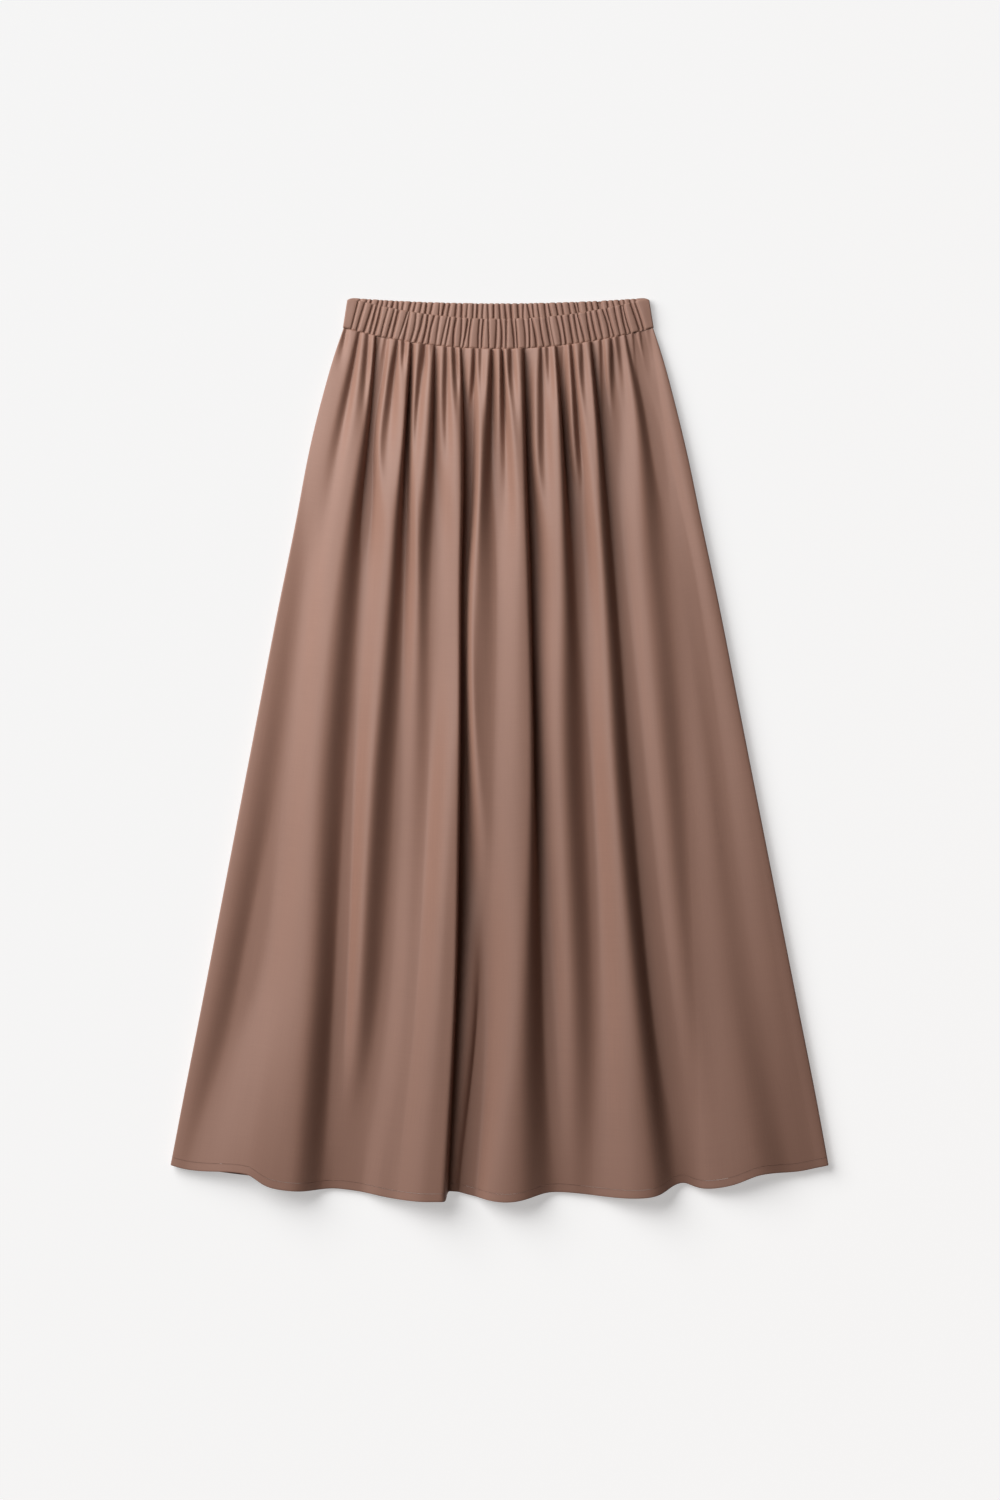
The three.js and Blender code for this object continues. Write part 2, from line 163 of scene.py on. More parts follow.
def make_mesh(name: str, points: Array, faces: Array, uv: Array | None = None) -> Object:
    """Put arrays into a mesh object at the origin, smooth shaded, in metres.

    Args:
        name: the piece's name.
        points: places in millimetres, one row each.
        faces: quads, four point numbers in each row.
        uv: cloth coordinates in metres, one row for each point.

    Returns:
        The new object, linked to the scene.
    """
    mesh = bpy.data.meshes.new(name)
    mesh.vertices.add(len(points))
    mesh.vertices.foreach_set("co", (points * MM).astype(np.float32).ravel())
    mesh.loops.add(faces.size)
    mesh.loops.foreach_set("vertex_index", faces.astype(np.int32).ravel())
    mesh.polygons.add(len(faces))
    mesh.polygons.foreach_set("loop_start", np.arange(0, faces.size, 4, dtype=np.int32))
    mesh.polygons.foreach_set("use_smooth", np.ones(len(faces), dtype=bool))
    if uv is not None:
        layer = mesh.uv_layers.new(name=CLOTH_UV)
        layer.data.foreach_set("uv", uv[faces.ravel()].astype(np.float32).ravel())
    mesh.update()
    mesh.validate()
    piece = bpy.data.objects.new(name, mesh)
    bpy.context.collection.objects.link(piece)
    return piece


def close_wall(name: str, upper: Array, lower: Array, uv: Array) -> Object:
    """Join an upper and a lower grid of places into one closed wall, with the same uv on both."""
    points = np.concatenate([upper.reshape(-1, 3), lower.reshape(-1, 3)])
    flat_uv = uv.reshape(-1, 2)
    return make_mesh(name, points, wall_faces(*upper.shape[:2]), np.concatenate([flat_uv, flat_uv]))


def quarter_circle(room: Array, least: float = 0.0) -> Array:
    """Height of a quarter circle over the room from its edge: root of 1 less (1 - room) squared."""
    near = np.clip(room, 0.0, 1.0)
    return np.sqrt(np.clip(1.0 - (1.0 - near) ** 2, least, 1.0))


def rounded(rows: Array, share: float) -> Array:
    """Fullness of a strip's section on its rows: a quarter circle over the last share of it."""
    place = (rows - rows[0]) / (rows[-1] - rows[0])
    return quarter_circle((1.0 - place) / share, least=0.06)[:, None, None]


def dress(piece: Object, material: Material, replaced: tuple[str, ...] = ()) -> None:
    """Give a piece its material and its body, and hide the nodes that it stands for."""
    piece.data.materials.append(material)
    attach(piece, BODY)
    if replaced:
        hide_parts(*replaced)
    LOG.info("%s: %d faces", piece.name, len(piece.data.polygons))


def lay_panel(
    name: str,
    node: str,
    cloth: Material,
    surface: tuple[Array, Array],
    above: Array | float,
    below: Array | float,
) -> Object:
    """A closed cloth wall round a surface, each side moved out along the surface's normal.

    Args:
        name: the piece's name.
        node: the solid that it stands for.
        cloth: its material.
        surface: grid of places, rows x columns x 3, and grid of uv, rows x columns x 2.
        above: how far the upper side stands off it, at every place or for each row.
        below: how far the lower side stands off it, the same.

    Returns:
        The new object, dressed.
    """
    middle, uv = surface
    normal = grid_normals(middle)
    panel = close_wall(name, middle + normal * above, middle - normal * below, uv)
    dress(panel, cloth, (node,))
    return panel


@dataclass(frozen=True)
class Hitch:
    """A place where the hem rises, in millimetres, with a half width for each of its two slopes."""

    place: float
    rise: float
    left: float
    right: float

    def lift(self, x: Array) -> Array:
        """Height of the rise: a bell with a steep and an easy side."""
        off = x - self.place
        return self.rise * bell(off, np.where(off < 0.0, self.left, self.right))


HITCHES = (
    Hitch(-263.7, 10.5, 30.0, 10.6),
    Hitch(-168.4, 7.2, 21.7, 43.9),
    Hitch(-60.0, 1.5, 12.0, 4.0),
    Hitch(-48.3, 11.6, 3.8, 24.0),
    Hitch(54.5, 10.4, 21.2, 40.1),
    Hitch(198.6, 10.0, 17.4, 11.0),
    Hitch(274.0, 7.0, 14.7, 22.7),
)


@dataclass(frozen=True)
class Cut:
    """Outline of the skirt as it lies, in millimetres. flare is half its width at flare_stops."""

    length: float = 950.0
    hem_y: float = -474.5
    waist_width: float = 317.0
    seam_width: float = 326.0
    hem_width: float = 688.4
    band_height: float = 32.0
    front_dip: float = 22.5
    back_dip: float = 6.0
    hem_sweep: float = 39.4
    hem_sweep_power: float = 2.4
    back_hem_rise: float = 17.0
    flare_stops: Row = (0.0, 0.03, 0.09, 0.15, 0.23, 0.33, 0.45, 0.63, 0.8, 0.93, 1.0)
    flare: Row = (162.8, 171.4, 185.6, 198.2, 212.7, 231.1, 251.6, 282.3, 311.4, 333.7, 344.8)
    drift: Pair = (-1.8, 0.3)
    seam_gap: float = 0.3
    hem_depth: float = 9.0

    @property
    def top_y(self) -> float:
        """Place of the band's top corners."""
        return self.length / 2.0

    @property
    def seam_y(self) -> float:
        """Place of the waist seam's two ends."""
        return self.top_y - self.band_height

    @property
    def drop(self) -> float:
        """Length of a panel from the seam's ends to the lowest point of the hem."""
        return self.seam_y - self.hem_y

    @property
    def hem_share(self) -> float:
        """Share of the panel's length that the turned hem takes."""
        return self.hem_depth / self.drop

    def dip(self, layer: Layer) -> float:
        """How far the band's middle lies below its ends on that side."""
        return self.front_dip if layer is Layer.FRONT else self.back_dip

    def centre_x(self, down: Array | float) -> Array | float:
        """Middle of the skirt, which drifts a little from the waist to the hem."""
        return self.drift[0] + (self.drift[1] - self.drift[0]) * down

    def half_width(self, down: Array) -> Array:
        """Half the width as it lies, read from the flare."""
        return glide(self.flare_stops, self.flare, down)

    def seam_line(self, across: Array, layer: Layer) -> Array:
        """The waist seam, a parabola that dips in the middle."""
        return self.seam_y - self.seam_gap - self.dip(layer) * (1.0 - across**2)

    def hem_line(self, across: Array, layer: Layer) -> Array:
        """The hem: a sweep up to the corners, with hitches in front and a shorter middle behind."""
        y = self.hem_y + self.hem_sweep * np.abs(across) ** self.hem_sweep_power
        if layer is Layer.BACK:
            return y + self.back_hem_rise * (1.0 - across**2)
        return y + sum(hitch.lift(across * self.hem_width / 2.0) for hitch in HITCHES)

    def place_y(self, across: Array, down: Array, layer: Layer) -> Array:
        """Place down the skirt: each thread runs evenly from the seam to the hem."""
        seam = self.seam_line(across, layer)
        return seam + (self.hem_line(across, layer) - seam) * down


LEVELS = (0.0, 0.12, 0.28, 0.5, 0.78, 1.0)


@dataclass(frozen=True)
class LongFold:
    """A fold that runs down the skirt, read at each of the six levels, in millimetres.

    place is where its valley lies across the skirt, depth the share of the loft that it takes, fall
    and rise the half widths of its left and right slopes, and lean how far it moves under the crest
    on its left.
    """

    name: str
    place: Row
    depth: Row
    fall: Row
    rise: Row
    lean: Row

    def path(self, down: Array) -> Array:
        """Place of the valley across the skirt."""
        return glide(LEVELS, self.place, down)


@dataclass(frozen=True)
class ShortGather:
    """A gather that starts at the waist seam, in millimetres. top and hem are the ends of its line
    over the whole length, depth is a share of the loft, reach the share of the length over which it
    fades, width its half width at the seam, and spread what the width gains over the length."""

    top: float
    hem: float
    depth: float
    reach: float
    width: float
    spread: float

    def taken(self, x: Array, down: Array) -> Array:
        """Share of the loft that the gather takes: a bell that fades and widens down its line."""
        off = x - self.top - (self.hem - self.top) * down
        fade = np.exp(-((down / self.reach) ** 2))
        return self.depth * fade * bell(off, self.width + self.spread * down)


LONG_FOLDS = (
    LongFold(
        "left side",
        place=(-165.1, -193.2, -206.1, -227.7, -268.1, -319.1),
        depth=(0, 0, 0.67, 0.86, 1.08, 0.43),
        fall=(1.9, 6, 15.4, 18, 18, 18),
        rise=(2.7, 19.5, 15.5, 20.9, 31.4, 34),
        lean=(0, 4.8, 0.1, 0, 0, 11),
    ),
    LongFold(
        "left wide",
        place=(-128.1, -132.4, -143.4, -155.3, -168.1, -185.9),
        depth=(1.1, 1.45, 0.89, 1.03, 1.12, 0.72),
        fall=(1.6, 4.6, 10.4, 15.2, 13.9, 12.9),
        rise=(7.7, 2.6, 13.9, 11.6, 11.1, 21.2),
        lean=(1.5, 4.4, 2.6, 0.8, 0, 0),
    ),
    LongFold(
        "left broad",
        place=(-91.3, -96.9, -97.1, -105.3, -124.1, -152.6),
        depth=(1, 1.25, 0.95, 0.84, 0.99, 0.92),
        fall=(1.6, 2, 8.5, 16.1, 18, 18),
        rise=(2.4, 2.4, 5.4, 10.1, 21.6, 24.5),
        lean=(1.2, 2.2, 4.1, 4.7, 0, 0),
    ),
    LongFold(
        "left soft",
        place=(-66.9, -66, -70, -75.1, -78.9, -105.8),
        depth=(0.85, 0.72, 0.6, 0.84, 0.47, 0.42),
        fall=(1.6, 4.5, 10.8, 16.9, 18, 18),
        rise=(3.7, 3.5, 17.9, 11.3, 5.7, 11.9),
        lean=(1, 3.3, 1.7, 0.8, 10.9, 5.7),
    ),
    LongFold(
        "middle deep",
        place=(-38.9, -33.6, -35.2, -36.4, -41.2, -49.6),
        depth=(0.7, 1.45, 1.5, 1.4, 0.8, 0.76),
        fall=(2, 2.8, 2.4, 2.4, 2.8, 4),
        rise=(6.1, 5, 2.8, 5.6, 27, 35),
        lean=(1, 3.5, 4.8, 4.8, 4.6, 4.6),
    ),
    LongFold(
        "middle soft",
        place=(-7, -6.4, 0.8, -5.9, -6.7, -30.2),
        depth=(0.85, 0.8, 0.48, 0.36, 0.72, 0.8),
        fall=(1.6, 5.7, 16, 18, 9.5, 6),
        rise=(2.2, 6.8, 9, 12.5, 10.5, 9.7),
        lean=(1, 2, 5.1, 2, 9.3, 2),
    ),
    LongFold(
        "right of middle",
        place=(27.3, 31.6, 36.4, 46.2, 49.5, 58.8),
        depth=(1, 1.2, 0.85, 0.92, 1.09, 0.89),
        fall=(2.4, 2.9, 3, 5.6, 10.4, 18),
        rise=(9.1, 3.3, 10.9, 10.7, 16.7, 18.8),
        lean=(1.5, 3, 3.4, 9, 0, 0),
    ),
    LongFold(
        "right broad",
        place=(61, 70.3, 83.2, 97.5, 103, 98.5),
        depth=(0.75, 1, 0.78, 1.01, 0.97, 0.8),
        fall=(2, 2.6, 7.6, 17.2, 18, 18),
        rise=(3.6, 3.8, 12.6, 10.3, 17.8, 25.2),
        lean=(1, 2.6, 3.5, 3.6, 1.5, 0),
    ),
    LongFold(
        "right wide",
        place=(96.8, 109.2, 123.6, 147, 174.9, 193.6),
        depth=(0.8, 1.05, 1.1, 1.15, 1.05, 0.66),
        fall=(1.6, 3.2, 6.6, 13.5, 16, 16),
        rise=(8.2, 15.4, 18.2, 14.3, 10.8, 18.4),
        lean=(1, 1.6, 0, 5.4, 10.7, 7),
    ),
    LongFold(
        "right soft",
        place=(133.3, 160.5, 177.4, 194.3, 206.6, 220),
        depth=(0.95, 0.75, 0.72, 0.92, 0.82, 0.57),
        fall=(1.6, 8.8, 15.2, 18, 18, 15.6),
        rise=(5.6, 7.8, 16, 23.3, 34, 34),
        lean=(1, 3.2, 1.6, 0, 0, 6.3),
    ),
    LongFold(
        "right outer",
        place=(156.6, 173.3, 205.2, 237.9, 268.5, 306.5),
        depth=(0.7, 0.7, 0.46, 0.58, 0.48, 0.57),
        fall=(2.5, 11, 14.2, 14.9, 18, 18),
        rise=(2.2, 5.7, 4.7, 8.8, 15.8, 21.1),
        lean=(0, 0.9, 5.9, 10.3, 3.3, 0),
    ),
    LongFold(
        "right side",
        place=(158.4, 182.2, 212.5, 251, 294.3, 333.2),
        depth=(0, 0, 0, 0.02, 0.16, 0.2),
        fall=(2.6, 4.3, 3, 7.8, 13.9, 11.1),
        rise=(2.2, 2.2, 2.3, 3.8, 6.8, 5.6),
        lean=(0, 0, 0, 0.1, 1.3, 4.2),
    ),
)

SHORT_GATHERS = (
    ShortGather(-161, -310, 0.946, 0.026, 2.09, 20),
    ShortGather(-147, -300, 0.8, 0.14, 1.7, 22),
    ShortGather(-77.5, -120, 0.6, 0.03, 1.3, 20),
    ShortGather(-137.5, -197, 0.722, 0.076, 1.995, 23),
    ShortGather(-118.2, -224, 0.904, 0.072, 1.15, 16),
    ShortGather(-107, -206, 0.834, 0.157, 1.15, 49),
    ShortGather(-99.9, -156, 0.834, 0.025, 1.995, 22),
    ShortGather(-79.5, -164, 0.624, 0.167, 2.28, 21),
    ShortGather(-55.6, -63, 0.694, 0.161, 1.71, 28),
    ShortGather(-47.3, 3, 0.778, 0.059, 1.995, 29),
    ShortGather(-26.2, -45, 0.806, 0.237, 1.235, 15),
    ShortGather(-19.4, -39, 0.47, 0.066, 2.28, 29),
    ShortGather(2.5, 39, 0.946, 0.174, 1.15, 22),
    ShortGather(11.7, 24, 0.624, 0.053, 1.805, 25),
    ShortGather(15.1, 37, 0.26, 0.07, 1.235, 22),
    ShortGather(44, 58, 0.652, 0.279, 1.15, 40),
    ShortGather(50.8, 77, 0.806, 0.071, 2.85, 27),
    ShortGather(67.3, 120, 0.666, 0.145, 2.09, 23),
    ShortGather(75.3, 149, 0.806, 0.277, 1.52, 18),
    ShortGather(86.7, 124, 0.442, 0.191, 1.425, 56),
    ShortGather(107.2, 173, 0.806, 0.131, 1.33, 9),
    ShortGather(117.4, 180, 0.736, 0.12, 1.15, 45),
    ShortGather(125.3, 217, 0.904, 0.139, 3.325, 35),
    ShortGather(141.7, 295, 1.142, 0.048, 1.425, 19),
    ShortGather(149.5, 269, 1.15, 0.05, 2.755, 30),
)


@dataclass(frozen=True)
class FrontPanel:
    """The front of the skirt with its turned hem, in millimetres.

    loft is how high the cloth stands above its rest, read at loft_stops down the skirt. edge_round
    holds a short and a long reach over which it rounds off towards the sides, and edge_share is
    what the short one takes. seam_share is what the folds keep of their height at the seam, where
    the cloth turns down within seam_turn. column_steps are the widest steps of the grid at the
    waist and at the hem. The tiny gathers' places and widths are shares of half the width.
    """

    cut: Cut
    cloth: float = 0.8
    hem_cloth: float = 1.5
    seam_step: float = 0.25
    flat_width: float = 780.0
    loft_stops: Row = (0.0, 0.02, 0.05, 0.12, 0.45, 1.0)
    loft: Row = (6.4, 10.8, 15.2, 18.6, 22.8, 21.6)
    edge_rest: float = 1.5
    valley_rest: float = 3.1
    seam_lift: float = 1.8
    seam_lift_reach: float = 0.02
    seam_share: float = 0.1
    seam_turn: float = 0.06
    hem_lift: float = 0.6
    hem_lift_start: float = 0.9
    hem_lift_run: float = 0.09
    edge_share: float = 0.33
    edge_round: Pair = (0.35, 50.0)
    rim_width: float = 3.0
    rim_columns: int = 8
    rim_crowding: float = 1.7
    valley_softness: float = 0.08
    tuck: float = 1.6
    hem_edge: float = 0.16
    rows: int = 110
    row_crowding: float = 1.6
    end_step: float = 0.12
    hem_rows: int = 12
    hem_crowding: float = 0.7
    column_steps: Pair = (0.96, 2.14)
    column_crowding: float = 0.35
    tiny_gathers: int = 16
    tiny_span: float = 0.92
    tiny_width: float = 0.009
    tiny_depth: Pair = (0.6, 1.1)
    tiny_reach: Pair = (0.012, 0.03)
    slack_waves: Row = (5.0, 8.0, 12.0, 17.0, 23.0, 31.0)
    slack_height: float = 2.2
    slack_swell: float = 0.4
    slack_wander: float = 0.35
    slack_start: float = 0.1
    seed: int = 11

    def guides(self, down: Array) -> Array:
        """Lines that the columns follow: one close to each side and the inner folds' valleys."""
        centre, room = self.cut.centre_x(down), self.cut.half_width(down) - self.rim_width
        valleys = (fold.path(down) for fold in LONG_FOLDS[1:-2])
        return np.stack([centre - room, *valleys, centre + room], axis=1)

    def columns(self, down: Array) -> Array:
        """Grid columns: steps between two neighbouring guides that crowd towards both of them.

        Args:
            down: the grid's rows.

        Returns:
            Places across the skirt, rows x columns.
        """
        gaps = np.diff(self.guides(np.array([0.0, 1.0])), axis=1)
        counts = np.ceil(np.max(gaps / np.array(self.column_steps)[:, None], axis=0)).astype(int)
        index = [k + np.arange(n) / n for k, n in enumerate(counts)]
        index = np.concatenate([*index, [len(counts)]])
        k = np.minimum(index.astype(int), len(counts) - 1)
        share = index - k
        share = share - self.column_crowding * np.sin(FULL_TURN * share) / FULL_TURN
        guides = self.guides(down)
        inner = guides[:, k] * (1.0 - share) + guides[:, k + 1] * share
        step = np.arange(self.rim_columns) / self.rim_columns
        rim = self.rim_width * (1.0 - step**self.rim_crowding)
        return np.concatenate([inner[:, :1] - rim, inner, inner[:, -1:] + rim[::-1]], axis=1)

    def carve(self, x: Array, down: Array) -> tuple[Array, Array]:
        """What the folds take from the loft: the sum of a bell for each, with its own two slopes.

        Args:
            x: places across, rows x columns.
            down: places down, rows x columns.

        Returns:
            The share of the loft that is taken away and how far the cloth leans to the left.
        """
        row = down[:, :1]
        share = np.zeros_like(x)
        lean = np.zeros_like(x)
        for fold in LONG_FOLDS:
            off = x - fold.path(row)
            fall, rise = glide(LEVELS, fold.fall, row), glide(LEVELS, fold.rise, row)
            shape = bell(off, np.where(off < 0.0, fall, rise))
            share += np.clip(glide(LEVELS, fold.depth, row), 0.0, None) * shape
            lean += np.clip(glide(LEVELS, fold.lean, row), 0.0, None) * shape
        return share + sum(gather.taken(x, row) for gather in SHORT_GATHERS), lean

    def tiny(self, across: Array, down: Array) -> Array:
        """Height of the tiny gathers at the seam: narrow bells that fade within a few rows."""
        rng = np.random.default_rng(self.seed)
        count = self.tiny_gathers
        places = (np.arange(count) + rng.uniform(0.2, 0.8, count)) / count
        height = np.zeros_like(across)
        for place in places * (2.0 * self.tiny_span) - self.tiny_span:
            fade = np.exp(-((down / rng.uniform(*self.tiny_reach)) ** 2))
            height -= rng.uniform(*self.tiny_depth) * bell(across - place, self.tiny_width) * fade
        return height

    def undulate(self, across: Array, down: Array) -> Array:
        """Slack in the cloth between the folds: waves down the threads, swelling and fading."""
        rng = np.random.default_rng(self.seed + 1)
        height = np.zeros_like(across)
        for waves in self.slack_waves:
            phase, drift, beat = rng.uniform(0.0, FULL_TURN, 3)
            swell = np.sin(FULL_TURN * down * rng.uniform(0.8, 2.0) + beat)
            swell = 1.0 - self.slack_swell + self.slack_swell * swell
            wander = self.slack_wander * np.sin(FULL_TURN * down * rng.uniform(0.6, 1.4) + drift)
            wave = np.sin(np.pi * waves * across + phase + wander)
            height += self.slack_height / waves * swell * wave
        return height

    def middle(self, x: Array, down: Array) -> Array:
        """Middle of the front cloth.

        Its height is the rest above the back panel, plus the loft that the folds leave, plus the
        slack and the tiny gathers. All of it is rounded off towards both sides by two curves, each
        1 less e to the power of minus the room left over its reach. At the seam the cloth turns
        down to the casing, so no fold is open there. Each place moves left by the lean of its
        folds, and the two side edges are tucked in under the panel.

        Args:
            x: places across before the lean, rows x columns.
            down: places down, rows x columns.

        Returns:
            Grid of places, rows x columns x 3.
        """
        half = self.cut.half_width(down)
        off = x - self.cut.centre_x(down)
        across = np.clip(off / half, -1.0, 1.0)
        room = np.maximum(half - np.abs(off), 0.0)
        sharp, easy = (1.0 - np.exp(-room / reach) for reach in self.edge_round)
        under = self.tuck * np.sign(off) * (1.0 - sharp)
        inside = self.edge_share * sharp + (1.0 - self.edge_share) * easy
        share, lean = self.carve(x, down)
        left = 1.0 - share
        kept = 0.5 * (left + np.hypot(left, self.valley_softness))
        loft = glide(self.loft_stops, self.loft, down)
        lift = self.seam_lift * np.exp(-((down / self.seam_lift_reach) ** 2))
        lift = lift + self.hem_lift * ease((down - self.hem_lift_start) / self.hem_lift_run)
        rest = self.edge_rest + (self.valley_rest - self.edge_rest) * inside + lift
        slack = self.undulate(across, down) * ease(down / self.slack_start)
        slack = slack * inside * np.clip(kept, 0.0, 1.0)
        turn = np.exp(-((down * self.cut.drop / self.seam_turn) ** 2))
        turned = 1.0 - (1.0 - self.seam_share) * turn
        height = rest + inside * loft * kept * turned + slack + self.tiny(across, down) * inside
        y = self.cut.place_y(across, down, Layer.FRONT)
        return np.stack([x - lean * inside - under, y, height], axis=-1)

    def rows_between(self, first: float, last: float, count: int, crowding: float) -> Array:
        """Rows between two shares of the length, spaced by a power of their order.

        One more lies close to each end, so that the cloth keeps its height up to its edge.

        Args:
            first: share of the length where the rows start.
            last: share where they end.
            count: rows apart from the two extra ones.
            crowding: the power; over 1 crowds them towards the first, under 1 towards the last.

        Returns:
            Shares of the length, rising.
        """
        rows = first + (last - first) * np.linspace(0.0, 1.0, count) ** crowding
        close = self.end_step / self.cut.drop
        return np.sort(np.concatenate([rows, [first + close, last - close]]))

    def surface(self, rows: Array) -> tuple[Array, Array]:
        """Middle surface and cloth coordinates on those rows, measured along the lowest row."""
        x = self.columns(rows)
        down = np.repeat(rows[:, None], x.shape[1], axis=1)
        middle = self.middle(x, down)
        run = walked(middle[-1])
        width = run / run[-1] * self.flat_width * MM
        uv = np.stack([np.broadcast_to(width, x.shape), down * self.cut.drop * MM], axis=-1)
        return middle, uv

    def build(self, cloth: Material) -> tuple[Object, Object]:
        """Build the panel down to the hem's stitch line, and the turned hem below it."""
        start = 1.0 - self.cut.hem_share
        rows = self.rows_between(0.0, start, self.rows, self.row_crowding)
        half = self.cloth / 2.0
        panel = lay_panel("front_skirt", "front_panel", cloth, self.surface(rows), half, half)
        first = start + self.seam_step / self.cut.drop
        rows = self.rows_between(first, 1.0, self.hem_rows, self.hem_crowding)
        full = rounded(rows, self.hem_edge)
        above, below = half * full, (self.hem_cloth - half) * full
        surface = self.surface(rows)
        return panel, lay_panel("front_turned_hem", "front_hem", cloth, surface, above, below)


@dataclass(frozen=True)
class BackPanel:
    """The back of the skirt with its turned hem, flat on the table, in millimetres.

    The channels are hollows along the threads. channel_width, channel_shift and channel_wander are
    shares of their pitch, and channel_least is cut off their foot, which leaves flat strips.
    """

    cut: Cut
    cloth: float = 0.8
    hem_cloth: float = 1.5
    seam_step: float = 0.25
    flat_width: float = 780.0
    inset: float = 0.4
    channels: int = 24
    channel_height: float = 1.3
    channel_width: float = 0.13
    channel_shift: float = 0.2
    channel_wander: float = 0.1
    channel_least: float = 0.08
    channel_fill: Pair = (0.5, 1.0)
    channel_reach: Pair = (0.25, 1.1)
    side_power: int = 8
    hem_edge: float = 0.16
    rows: int = 120
    columns: int = 289
    row_crowding: float = 1.5
    hem_rows: int = 9
    seed: int = 5

    def lift(self, across: Array, down: Array) -> Array:
        """Height of the channels under the back: bells at uneven places that fade unevenly."""
        rng = np.random.default_rng(self.seed)
        height = np.zeros_like(across)
        pitch = 2.0 / self.channels
        for k in range(self.channels):
            centre = -1.0 + pitch * (k + 0.5 + rng.uniform(-self.channel_shift, self.channel_shift))
            fade = np.exp(-((down / rng.uniform(*self.channel_reach)) ** 2))
            beat = FULL_TURN * down * rng.uniform(0.5, 1.2) + rng.uniform(0.0, 6.0)
            off = across - centre - self.channel_wander * pitch * np.sin(beat)
            height += rng.uniform(*self.channel_fill) * fade * bell(off, self.channel_width * pitch)
        share = np.clip(height - self.channel_least, 0.0, 1.0)
        return self.channel_height * share * (1.0 - across**self.side_power)

    def surface(self, rows: Array, thickness: float) -> tuple[Array, Array]:
        """Middle surface and cloth coordinates on those rows; the underside lies on the table."""
        across = np.repeat(np.linspace(-1.0, 1.0, self.columns)[None, :], len(rows), axis=0)
        down = np.repeat(rows[:, None], self.columns, axis=1)
        x = self.cut.centre_x(down) + across * (self.cut.half_width(down) - self.inset)
        y = self.cut.place_y(across, down, Layer.BACK)
        z = thickness / 2.0 + self.lift(across, down)
        width = (across + 1.0) / 2.0 * self.flat_width * MM
        uv = np.stack([width, down * self.cut.drop * MM], axis=-1)
        return np.stack([x, y, z], axis=-1), uv

    def build(self, cloth: Material) -> tuple[Object, Object]:
        """Build the back panel and its turned hem."""
        start = 1.0 - self.cut.hem_share
        rows = start * np.linspace(0.0, 1.0, self.rows) ** self.row_crowding
        surface, half = self.surface(rows, self.cloth), self.cloth / 2.0
        panel = lay_panel("back_skirt", "back_panel", cloth, surface, half, half)
        rows = np.linspace(start + self.seam_step / self.cut.drop, 1.0, self.hem_rows)
        full = self.hem_cloth / 2.0 * rounded(rows, self.hem_edge)
        surface = self.surface(rows, self.hem_cloth)
        return panel, lay_panel("back_turned_hem", "back_hem", cloth, surface, full, full)


